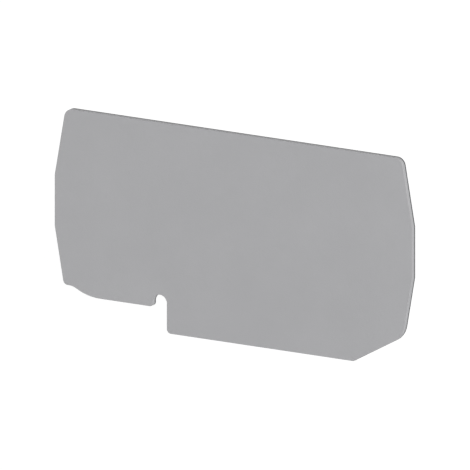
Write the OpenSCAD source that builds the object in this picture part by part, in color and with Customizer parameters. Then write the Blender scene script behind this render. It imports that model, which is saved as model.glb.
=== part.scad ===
// End cover for a rail-mounted terminal block: a thin moulded plate with locating pegs
//
// The plate closes the open side of the last block in a row. It stands as it is
// mounted on a level rail: X along the block, Z up and away from the rail, and Y
// along the rail. The smooth outer face looks towards -Y, and the pegs on the inner
// face point towards +Y. The origin is on the inner face, at the middle of the pegs.

/* [Plate] */
// Length across the two end flats
plate_length = 66; // [60:0.5:80]
// Height from the foot edge to the top edge
plate_height = 34.7; // [31:0.1:44]
// Thickness of the plate
plate_thickness = 1; // [0.8:0.1:2.5]

/* [Ends] */
// Drop from the top edge to the upper end of each end flat
end_drop = 11.2; // [6:0.1:14]
// Height of each end flat
end_flat_height = 8.4; // [4:0.1:12]
// Lean of the end edges above and below the flats, in degrees
end_lean = 10; // [4:0.5:16]
// Radius of the two top corners
top_corner_r = 1.5; // [0.5:0.1:5]

/* [Shoulder and lobe] */
// Height of the shoulder above the foot edge
shoulder_height = 5.54; // [4.6:0.02:9]
// Distance from the left end to the sharp corner between shoulder and step
shoulder_length = 3.32; // [2.6:0.02:8]
// Radius of the corner between the shoulder and the left end
shoulder_corner_r = 0.8; // [0.2:0.05:1.5]
// Slope of the step from the shoulder down to the lobe, in degrees
step_slope = 28; // [15:1:45]
// Radius of the hollow at the top of the step
step_hollow_r = 3; // [0.5:0.1:6]
// Radius of the swell at the foot of the step
step_swell_r = 9; // [1:0.1:12]
// Height of the lobe's level edge above the foot edge
lobe_height = 4.06; // [2:0.02:5]
// Radius of the lobe's corner beside the notch
lobe_corner_r = 0.6; // [0.2:0.05:1]

/* [Notch] */
// Width of the round-topped notch between the lobe and the foot
notch_width = 2.56; // [1.6:0.02:4]
// Height of the notch's crown above the foot edge
notch_height = 6.2; // [5.4:0.02:8]

/* [Foot] */
// Distance from the left end to the foot
foot_inset = 20.7; // [16:0.1:24]
// Width of the foot edge, before its corners are rounded
foot_width = 34.45; // [28:0.05:36]
// Radius of the foot's corner beside the notch
foot_corner_r = 0.75; // [0.2:0.05:2]
// Radius of the heel between the foot edge and the ramp
heel_r = 0.2; // [0.1:0.1:3]
// Rise of the ramp from the heel to the right end, in degrees
ramp_rise = 29.7; // [15:0.1:40]
// Radius between the ramp and the right end
ramp_corner_r = 3.6; // [1:0.1:8]

/* [Locating pegs] */
// Distance between the pegs along the plate
peg_pitch_x = 44; // [30:0.5:50]
// Distance between the pegs up the plate
peg_pitch_z = 17; // [10:0.5:20]
// Height of the lower pegs above the foot edge
peg_base_height = 10.5; // [8:0.1:14]
// Diameter of a peg's shank
peg_diameter = 2.4; // [1.8:0.1:4]
// Length of a peg, from the inner face to its tip
peg_length = 2.6; // [1.5:0.1:5]
// Length of the taper that leads a peg into its hole
lead_in_length = 0.5; // [0.2:0.05:0.8]
// Slope of that taper from the peg's axis, in degrees
lead_in_slope = 35; // [15:1:45]
// Radius of the fillet at a peg's root
peg_root_r = 0.2; // [0.1:0.05:0.5]

/* [Hidden] */

// Sides of a full circle in the preview
$fn = 128;
// How far a piece runs into its neighbour, so that the two join as one
bite = 0.3;
// How far a rounding circle runs past its tangent points, so that it leaves no splinter
overrun = 0.0001;
plastic_grey = [0.66, 0.66, 0.67];

half_length = plate_length / 2;
end_top = plate_height - end_drop;
end_bottom = end_top - end_flat_height;
foot_x = foot_inset - half_length;
heel_x = foot_x + foot_width;
notch_x = foot_x - notch_width;
notch_spring = notch_height - notch_width / 2;
step_top_x = shoulder_length - half_length;
step_bottom_x = step_top_x + (shoulder_height - lobe_height) / tan(step_slope);
peg_centre_height = peg_base_height + peg_pitch_z / 2;

// Where the ramp's line crosses the line of the right end's lower edge
ramp_top = (end_x(0) - heel_x) * tan(ramp_rise) / (1 - tan(end_lean) * tan(ramp_rise));

// Half-length of the plate at a height, on the leaning edges above and below the flats
function end_x(height) =
    half_length - max(height - end_top, end_bottom - height, 0) * tan(end_lean);

// The outline's sharp corners, anticlockwise from the foot: across, up and radius
corners = [
    [foot_x, 0, foot_corner_r],
    [heel_x, 0, heel_r],
    [end_x(ramp_top), ramp_top, ramp_corner_r],
    [half_length, end_bottom, 0],
    [half_length, end_top, 0],
    [end_x(plate_height), plate_height, top_corner_r],
    [-end_x(plate_height), plate_height, top_corner_r],
    [-half_length, end_top, 0],
    [-half_length, end_bottom, 0],
    [-end_x(shoulder_height), shoulder_height, shoulder_corner_r],
    [step_top_x, shoulder_height, step_hollow_r],
    [step_bottom_x, lobe_height, step_swell_r],
    [notch_x, lobe_height, lobe_corner_r],
    [notch_x, notch_spring, 0],
    [foot_x, notch_spring, 0],
];

function unit(v) = v / norm(v);
function wrap(i) = (i + len(corners)) % len(corners);
function point(i) = [corners[wrap(i)].x, corners[wrap(i)].y];
function wanted_r(i) = corners[wrap(i)].z;

// Unit vectors from a corner towards the ones before and after it
function back(i) = unit(point(i - 1) - point(i));
function ahead(i) = unit(point(i + 1) - point(i));
function half_angle(i) = acos(back(i) * ahead(i)) / 2;

// A corner is hollow where the outline turns clockwise
function is_hollow(i) = cross(back(i), ahead(i)) > 0;

// How far along its edges a corner's arc would reach
function wanted_reach(i) = wanted_r(i) / tan(half_angle(i));

// Share of that reach which the edge after a corner can hold
function room(i) =
    let (both = wanted_reach(i) + wanted_reach(i + 1))
    both > 0 ? min(1, norm(point(i + 1) - point(i)) / both) : 1;

function fitted_r(i) = wanted_r(i) * min(room(i - 1), room(i));
function reach(i) = fitted_r(i) / tan(half_angle(i));
function arc_centre(i) = point(i) + unit(back(i) + ahead(i)) * fitted_r(i) / sin(half_angle(i));

// What lies between a sharp corner and its arc, run on past the corner by the bite
module corner_sliver(i) {
    away = unit(point(i) - arc_centre(i));
    difference() {
        polygon([
            arc_centre(i),
            point(i) + back(i) * reach(i),
            point(i) + away * bite,
            point(i) + ahead(i) * reach(i),
        ]);
        translate(arc_centre(i)) circle(r = fitted_r(i) + overrun);
    }
}

// The half-round head of the notch
module notch_crown() {
    translate([notch_x + notch_width / 2, notch_spring]) circle(r = notch_width / 2 + overrun);
}

module outline() {
    rounded = [for (i = [0 : len(corners) - 1]) if (wanted_r(i) > 0) i];
    difference() {
        union() {
            polygon([for (i = [0 : len(corners) - 1]) point(i)]);
            for (i = rounded) if (is_hollow(i)) corner_sliver(i);
        }
        for (i = rounded) if (!is_hollow(i)) corner_sliver(i);
        notch_crown();
    }
}

// The plate reaches from the origin's plane towards -Y, with its foot edge below the origin
module plate() {
    translate([0, 0, -peg_centre_height])
        rotate([90, 0, 0])
            linear_extrude(height = plate_thickness)
                outline();
}

// Half of a peg's section: shank, tapered lead-in and root fillet
module peg_section() {
    shank_r = peg_diameter / 2;
    tip_r = shank_r - lead_in_length * tan(lead_in_slope);
    polygon([
        [0, -bite],
        [shank_r, -bite],
        [shank_r, peg_length - lead_in_length],
        [tip_r, peg_length],
        [0, peg_length],
    ]);
    difference() {
        translate([shank_r - bite, -bite]) square([bite + peg_root_r, bite + peg_root_r]);
        translate([shank_r + peg_root_r, peg_root_r]) circle(r = peg_root_r);
    }
}

// A peg stands on the inner face and points away from it
module peg() {
    rotate([-90, 0, 0]) rotate_extrude() peg_section();
}

module end_cover() {
    color(plastic_grey) union() {
        plate();
        for (side = [-1, 1], level = [-1, 1])
            translate([side * peg_pitch_x / 2, 0, level * peg_pitch_z / 2]) peg();
    }
}

end_cover();
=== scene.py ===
# %% [markdown]
# # End cover for a rail-mounted terminal block
# A row of terminal blocks leaves the last block's side open, and this thin plate
# closes it. The real one is moulded in one shot from a grey engineering plastic:
# a flat plate one millimetre thick, with four short pegs on its hidden side.
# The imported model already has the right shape, so this lesson is about what a
# drawing can't hold: softened edges, the satin skin of the plastic, and the light.

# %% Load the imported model
import math

import bmesh
import bpy
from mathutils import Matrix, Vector


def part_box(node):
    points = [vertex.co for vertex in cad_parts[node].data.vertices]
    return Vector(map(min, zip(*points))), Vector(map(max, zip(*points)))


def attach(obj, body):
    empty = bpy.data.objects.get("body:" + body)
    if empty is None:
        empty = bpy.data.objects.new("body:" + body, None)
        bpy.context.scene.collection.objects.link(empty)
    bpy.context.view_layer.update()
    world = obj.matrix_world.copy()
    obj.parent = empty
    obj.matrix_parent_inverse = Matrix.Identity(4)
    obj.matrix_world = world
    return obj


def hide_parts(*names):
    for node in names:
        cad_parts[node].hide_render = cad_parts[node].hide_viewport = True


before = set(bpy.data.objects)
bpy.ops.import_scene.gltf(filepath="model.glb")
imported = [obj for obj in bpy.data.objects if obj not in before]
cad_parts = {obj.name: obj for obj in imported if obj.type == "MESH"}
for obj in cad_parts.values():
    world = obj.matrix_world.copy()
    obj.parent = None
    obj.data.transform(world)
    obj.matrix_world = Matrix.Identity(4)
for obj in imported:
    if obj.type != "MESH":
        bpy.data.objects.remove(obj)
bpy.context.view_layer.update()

MM = 0.001
packed_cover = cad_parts["end_cover"]
cover_low, cover_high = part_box("end_cover")
print("cover spans", [round(side / MM, 2) for side in cover_high - cover_low], "mm")

# %% [markdown]
# A mesh, a lamp or a camera only holds settings. It takes an object to give it a
# place, and the object has to be linked into the scene before it counts.

# %% Put things in the scene


def add_object(name, data):
    """A new object that places a mesh, a lamp or a camera in the scene."""
    thing = bpy.data.objects.new(name, data)
    bpy.context.scene.collection.objects.link(thing)
    return thing


# %% [markdown]
# ## One clean skin
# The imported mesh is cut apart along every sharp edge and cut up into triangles,
# as a drawing program writes it. Softening an edge needs the opposite: faces that
# share their points, with no loose diagonals across the flats. The outline could
# be drawn again by hand, but it is right as it is, so the dressed cover starts as
# a copy. Points that lie together are joined, and every edge where the surface
# bends by less than half a degree is dissolved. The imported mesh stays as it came.

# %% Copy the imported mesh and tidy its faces
WELD_REACH = 0.001 * MM
FLAT_ENOUGH = math.radians(0.5)


def clean_copy(source, name):
    """A new object of the source's shape, with its split edges joined and its flats cleared."""
    shape = bmesh.new()
    shape.from_mesh(source.data)
    bmesh.ops.remove_doubles(shape, verts=shape.verts, dist=WELD_REACH)
    bmesh.ops.dissolve_limit(shape, angle_limit=FLAT_ENOUGH, verts=shape.verts, edges=shape.edges)
    for face in shape.faces:
        face.smooth = True
    for edge in shape.edges:
        edge.smooth = True
    mesh = bpy.data.meshes.new(name)
    shape.to_mesh(mesh)
    shape.free()
    if "custom_normal" in mesh.attributes:
        mesh.attributes.remove(mesh.attributes["custom_normal"])
    return add_object(name, mesh)


def loose_edges(piece):
    """How many edges of a piece don't lie between exactly two faces."""
    shape = bmesh.new()
    shape.from_mesh(piece.data)
    count = sum(not edge.is_manifold for edge in shape.edges)
    shape.free()
    return count


cover = clean_copy(packed_cover, "moulded_cover")
print("faces:", len(packed_cover.data.polygons), "packed,", len(cover.data.polygons), "now")
print("edges that aren't between two faces:", loose_edges(cover))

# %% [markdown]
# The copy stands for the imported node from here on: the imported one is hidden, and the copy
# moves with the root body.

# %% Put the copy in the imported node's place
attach(cover, "root")
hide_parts("end_cover")
print(cover.name, "stands for", packed_cover.name)

# %% [markdown]
# ## Softened edges
# No moulded edge is perfectly sharp. The rims look crisp in the photograph, so the radius that
# the mould leaves is only a few hundredths of a millimetre. That narrow band is what catches the
# light along the outline. A shader could fake it, but a real bevel also holds up in the mesh
# itself. The angle limit picks only the plate's rims and the pegs' tips. Round stretches of the
# outline bend far less from facet to facet.

# %% Round the rims
RIM_RADIUS = 0.05 * MM
RIM_STEPS = 3
RIM_ANGLE = math.radians(40)

rims = cover.modifiers.new("round the rims", "BEVEL")
rims.width = RIM_RADIUS
rims.segments = RIM_STEPS
rims.limit_method = "ANGLE"
rims.angle_limit = RIM_ANGLE
print("rims of", round(RIM_RADIUS / MM, 2), "mm, in", RIM_STEPS, "steps")

# %% [markdown]
# The big flats must still shade as flats beside those narrow bands. The faces are
# all smooth, and weighting each normal by face area lets the large face win at
# the points it shares, so the whole turn happens inside the bevel.

# %% Keep the flats flat
LARGEST_WINS = 100

weigh = cover.modifiers.new("weigh normals", "WEIGHTED_NORMAL")
weigh.mode = "FACE_AREA"
weigh.weight = LARGEST_WINS
weigh.keep_sharp = False


def dressed_counts(piece):
    """The number of points and faces that a piece has with its modifiers."""
    seen = piece.evaluated_get(bpy.context.evaluated_depsgraph_get())
    mesh = seen.to_mesh()
    counts = (len(mesh.vertices), len(mesh.polygons))
    seen.to_mesh_clear()
    return counts


print("with rims:", dressed_counts(cover), "points and faces")

# %% [markdown]
# ## Grain and flow
# The cover is grey all the way through, so there is no paint and no print. What
# makes it look moulded is its skin: the fine grain that spark erosion leaves in
# the steel of the mould, and a tone that drifts by a percent or two where the
# melt flowed. A picture of such a skin could be wrapped round the part, but it
# would need the mesh unfolded and would show where it meets itself. Noises need
# neither. They use the object's own coordinates, in real sizes, so they stay put
# on the part and keep their scale from any side.

# %% Make noises of a real size
GRAIN_SIZE, GRAIN_DETAIL = 0.12 * MM, 2
FLOW_SIZE, FLOW_DETAIL = 9 * MM, 3
NOISE_LOW, NOISE_HIGH = 0.25, 0.75


def noise(tree, position, size, detail):
    """A noise texture whose features are about the given size across."""
    texture = tree.nodes.new("ShaderNodeTexNoise")
    texture.inputs["Scale"].default_value = 1 / size
    texture.inputs["Detail"].default_value = detail
    tree.links.new(position, texture.inputs["Vector"])
    return texture.outputs["Fac"]


def spread(tree, value, low, high):
    """Maps the range that a noise mostly keeps to onto the one from low to high."""
    span = tree.nodes.new("ShaderNodeMapRange")
    span.inputs["From Min"].default_value = NOISE_LOW
    span.inputs["From Max"].default_value = NOISE_HIGH
    span.inputs["To Min"].default_value = low
    span.inputs["To Max"].default_value = high
    tree.links.new(value, span.inputs["Value"])
    return span.outputs["Result"]


print("grains along the plate:", round((cover_high.x - cover_low.x) / GRAIN_SIZE))

# %% [markdown]
# ## A painted shade line on the edge
# The photograph shows a thin dark line on the plate's edge, close to the inner face, along the
# top and the right end. The scene paints it as shade: a darker band in the plastic's colour, not
# a groove and not a mark of the mould. A groove would need another bevel all round, for a line
# three tenths of a millimetre wide, so the line is a mask instead: it measures how far a point
# lies from one level in Y, and fades out before the inner face begins.

# %% Find where the painted shade line lies
# The painted shade line: how far in from the inner face it lies, its half width and its solid
# core.
SHADE_LINE_DEPTH = 0.22 * MM
SHADE_LINE_HALF_WIDTH = 0.15 * MM
SHADE_LINE_CORE = 0.75


def painted_shade_line_mask(tree, position):
    """One along the painted shade line on the plate's edge beside the inner face, nothing off it.
    """
    axes = tree.nodes.new("ShaderNodeSeparateXYZ")
    tree.links.new(position, axes.inputs["Vector"])
    offset = tree.nodes.new("ShaderNodeMath")
    offset.operation = "ADD"
    offset.inputs[1].default_value = SHADE_LINE_DEPTH
    tree.links.new(axes.outputs["Y"], offset.inputs[0])
    distance = tree.nodes.new("ShaderNodeMath")
    distance.operation = "ABSOLUTE"
    tree.links.new(offset.outputs["Value"], distance.inputs[0])
    mask = tree.nodes.new("ShaderNodeMapRange")
    mask.interpolation_type = "SMOOTHSTEP"
    mask.inputs["From Min"].default_value = SHADE_LINE_HALF_WIDTH
    mask.inputs["From Max"].default_value = SHADE_LINE_HALF_WIDTH * SHADE_LINE_CORE
    tree.links.new(distance.outputs["Value"], mask.inputs["Value"])
    return mask.outputs["Result"]


print("line from", round((SHADE_LINE_DEPTH - SHADE_LINE_HALF_WIDTH) / MM, 2), "to",
      round((SHADE_LINE_DEPTH + SHADE_LINE_HALF_WIDTH) / MM, 2), "mm in from the inner face")

# %% [markdown]
# ## The plastic
# One Principled shader wears all of this. Its colour is the grey, a little lighter or darker with
# the flow, and darkened along the line by painted shade. The grain bumps the surface by about a
# hundredth of a millimetre and makes the gloss uneven too, and close up it stops the flat face
# from looking like paper. The finish is satin: fairly rough, with a weak reflection. How weak is
# the same all over, so it is a plain number on the shader's own socket.

# %% Mix the plastic
OPAQUE = 1
PLASTIC_GREY = (0.385, 0.385, 0.395)
TONE_DRIFT = 0.02
# How dark the painted shade line makes the grey.
PAINTED_SHADE_TONE = 0.2
PLASTIC_ROUGHNESS = 0.58
ROUGHNESS_DRIFT = 0.06
PLASTIC_GLOSS = 0.35
GRAIN_DEPTH = 0.02 * MM


def grey(tone):
    """The colour of an even grey, from 0, black, to 1, white."""
    return (tone, tone, tone, OPAQUE)


def plastic_material():
    material = bpy.data.materials.new("moulded grey plastic")
    material.use_nodes = True
    tree = material.node_tree
    skin = tree.nodes["Principled BSDF"]
    skin.inputs["Specular IOR Level"].default_value = PLASTIC_GLOSS
    position = tree.nodes.new("ShaderNodeTexCoord").outputs["Object"]

    flow = noise(tree, position, FLOW_SIZE, FLOW_DETAIL)
    tone = tree.nodes.new("ShaderNodeMix")
    tone.data_type = "RGBA"
    tone.inputs["A"].default_value = (*[c * (1 - TONE_DRIFT) for c in PLASTIC_GREY], OPAQUE)
    tone.inputs["B"].default_value = (*[c * (1 + TONE_DRIFT) for c in PLASTIC_GREY], OPAQUE)
    tree.links.new(spread(tree, flow, 0, 1), tone.inputs["Factor"])

    # Painted shade: the grey is multiplied darker along the line beside the inner face.
    painted_shade = tree.nodes.new("ShaderNodeMix")
    painted_shade.data_type = "RGBA"
    painted_shade.blend_type = "MULTIPLY"
    painted_shade.inputs["B"].default_value = grey(PAINTED_SHADE_TONE)
    tree.links.new(painted_shade_line_mask(tree, position), painted_shade.inputs["Factor"])
    tree.links.new(tone.outputs["Result"], painted_shade.inputs["A"])
    tree.links.new(painted_shade.outputs["Result"], skin.inputs["Base Color"])

    grain = noise(tree, position, GRAIN_SIZE, GRAIN_DETAIL)
    roughness = spread(tree, grain, PLASTIC_ROUGHNESS - ROUGHNESS_DRIFT,
                       PLASTIC_ROUGHNESS + ROUGHNESS_DRIFT)
    tree.links.new(roughness, skin.inputs["Roughness"])

    bump = tree.nodes.new("ShaderNodeBump")
    bump.inputs["Distance"].default_value = GRAIN_DEPTH
    tree.links.new(grain, bump.inputs["Height"])
    tree.links.new(bump.outputs["Normal"], skin.inputs["Normal"])
    return material


cover.data.materials.clear()
cover.data.materials.append(plastic_material())
print("material:", cover.data.materials[0].name)

# %% [markdown]
# ## Floor and background
# The part stands on its foot edge, upright as it does on the rail, on a plain
# white floor, and behind it there is nothing but white. That white must be seen
# but must not light the part, or the grey would wash out. Cycles tells a
# material what kind of ray has hit it, so the rays that only look, from the
# camera or off a glossy surface, can be told from those that carry light.

# %% Tell rays that look from rays that light
FIRST_LOOK = "Is Camera Ray"
LATER_LOOKS = ("Is Glossy Ray", "Is Transmission Ray")


def looking(tree):
    """One for rays from the camera, and for those that gloss or glass pass on."""
    path = tree.nodes.new("ShaderNodeLightPath")
    found = path.outputs[FIRST_LOOK]
    for kind in LATER_LOOKS:
        either = tree.nodes.new("ShaderNodeMath")
        either.operation = "MAXIMUM"
        tree.links.new(found, either.inputs[0])
        tree.links.new(path.outputs[kind], either.inputs[1])
        found = either.outputs["Value"]
    return found


print("rays that look:", ", ".join((FIRST_LOOK, *LATER_LOOKS)))

# %% [markdown]
# The floor is a pale matt sheet that takes the lamps' light like anything else.
# Rays that look also see it glow, which lifts it almost to white and still
# leaves room for the part's own soft shadow.

# %% Lay the floor
FLOOR_HALF = 1.5
FLOOR_TONE = 0.6
FLOOR_TONE_SEEN = 0.25
FLOOR_GLOW = 0.9


def floor_material():
    material = bpy.data.materials.new("white studio floor")
    material.use_nodes = True
    tree = material.node_tree
    tree.nodes.clear()
    seen = looking(tree)
    tone = tree.nodes.new("ShaderNodeMix")
    tone.data_type = "RGBA"
    tone.inputs["A"].default_value = grey(FLOOR_TONE)
    tone.inputs["B"].default_value = grey(FLOOR_TONE_SEEN)
    tree.links.new(seen, tone.inputs["Factor"])
    lit = tree.nodes.new("ShaderNodeBsdfDiffuse")
    tree.links.new(tone.outputs["Result"], lit.inputs["Color"])
    strength = tree.nodes.new("ShaderNodeMath")
    strength.operation = "MULTIPLY"
    strength.inputs[1].default_value = FLOOR_GLOW
    tree.links.new(seen, strength.inputs[0])
    glow = tree.nodes.new("ShaderNodeEmission")
    tree.links.new(strength.outputs["Value"], glow.inputs["Strength"])
    both = tree.nodes.new("ShaderNodeAddShader")
    tree.links.new(lit.outputs["BSDF"], both.inputs[0])
    tree.links.new(glow.outputs["Emission"], both.inputs[1])
    out = tree.nodes.new("ShaderNodeOutputMaterial")
    tree.links.new(both.outputs["Shader"], out.inputs["Surface"])
    return material


def lay_floor(height):
    corners = [(x, y, height) for x, y in
               ((-FLOOR_HALF, -FLOOR_HALF), (FLOOR_HALF, -FLOOR_HALF),
                (FLOOR_HALF, FLOOR_HALF), (-FLOOR_HALF, FLOOR_HALF))]
    mesh = bpy.data.meshes.new("studio_floor")
    mesh.from_pydata(corners, [], [(0, 1, 2, 3)])
    mesh.materials.append(floor_material())
    return add_object("studio_floor", mesh)


floor = lay_floor(cover_low.z)
print("floor at", round(cover_low.z / MM, 2), "mm")

# %% [markdown]
# ## Light
# A broad lamp low on the right of the camera lights the outer face, and the
# right end a little more. It only skims the top edge, which stays darker. A
# second one low behind on the left does the same for the hidden side. Seen from
# the other side, a low lamp would flare in the top edge like a low sun in a wet
# road, so both are hidden from gloss. The sky is an even grey that lifts the
# shadows, and it is white to the rays that look.

# %% Hang the lamps
WHITE = 1
SKY_STRENGTH = 0.28
LAMP_DISTANCE = 3
LAMP_SIZE = 1.5
KEY_AZIMUTH, KEY_ELEVATION, KEY_LEVEL = 49, 14, 1.115
FILL_AZIMUTH, FILL_ELEVATION, FILL_LEVEL = 200, 5, 1.1


def direction(azimuth, elevation):
    """The unit vector from the part towards a point of the compass, 0 being in front."""
    a, e = math.radians(azimuth), math.radians(elevation)
    return Vector((math.sin(a) * math.cos(e), -math.cos(a) * math.cos(e), math.sin(e)))


def hang_lamp(name, azimuth, elevation, level):
    """A square lamp that would light a white card facing it to the given level."""
    lamp = bpy.data.lights.new(name, "AREA")
    lamp.shape = "SQUARE"
    lamp.size = LAMP_SIZE
    lamp.energy = level * math.pi * math.pi * LAMP_DISTANCE ** 2
    holder = add_object(name, lamp)
    towards = direction(azimuth, elevation)
    holder.location = towards * LAMP_DISTANCE
    holder.rotation_euler = towards.to_track_quat("Z", "Y").to_euler()
    holder.visible_glossy = False


def paint_sky():
    world = bpy.data.worlds.new("pale studio")
    bpy.context.scene.world = world
    world.use_nodes = True
    tree = world.node_tree
    seen = looking(tree)
    strength = tree.nodes.new("ShaderNodeMapRange")
    strength.inputs["To Min"].default_value = SKY_STRENGTH
    strength.inputs["To Max"].default_value = WHITE
    tree.links.new(seen, strength.inputs["Value"])
    sky = tree.nodes["Background"]
    sky.inputs["Color"].default_value = grey(WHITE)
    tree.links.new(strength.outputs["Result"], sky.inputs["Strength"])


hang_lamp("key_lamp", KEY_AZIMUTH, KEY_ELEVATION, KEY_LEVEL)
hang_lamp("fill_lamp", FILL_AZIMUTH, FILL_ELEVATION, FILL_LEVEL)
paint_sky()
bpy.context.scene.view_settings.view_transform = "Standard"

# %% [markdown]
# ## Camera
# The long edges of the plate are parallel in the photograph, and so are the short
# ones, so it has no perspective: the camera is orthographic. It looks from thirty
# degrees to the right and fifteen degrees up. Its width sets how large the part
# stands in the square frame, and a small shift of its aim sets where.

# %% Place the camera
VIEW_AZIMUTH, VIEW_ELEVATION = 30, 15
VIEW_WIDTH = 75.12 * MM
VIEW_DISTANCE = 0.5
VIEW_NEAR, VIEW_FAR = 0.01, 10
AIM_RIGHT = -0.246 * MM
AIM_UP = -1.265 * MM


def place_camera():
    camera = bpy.data.cameras.new("photo_camera")
    camera.type = "ORTHO"
    camera.ortho_scale = VIEW_WIDTH
    camera.clip_start = VIEW_NEAR
    camera.clip_end = VIEW_FAR
    holder = add_object("photo_camera", camera)
    turn = direction(VIEW_AZIMUTH, VIEW_ELEVATION).to_track_quat("Z", "Y")
    holder.rotation_euler = turn.to_euler()
    holder.location = turn @ Vector((AIM_RIGHT, AIM_UP, VIEW_DISTANCE))
    bpy.context.scene.camera = holder
    return holder


camera = place_camera()
print("camera at", [round(c, 4) for c in camera.location])
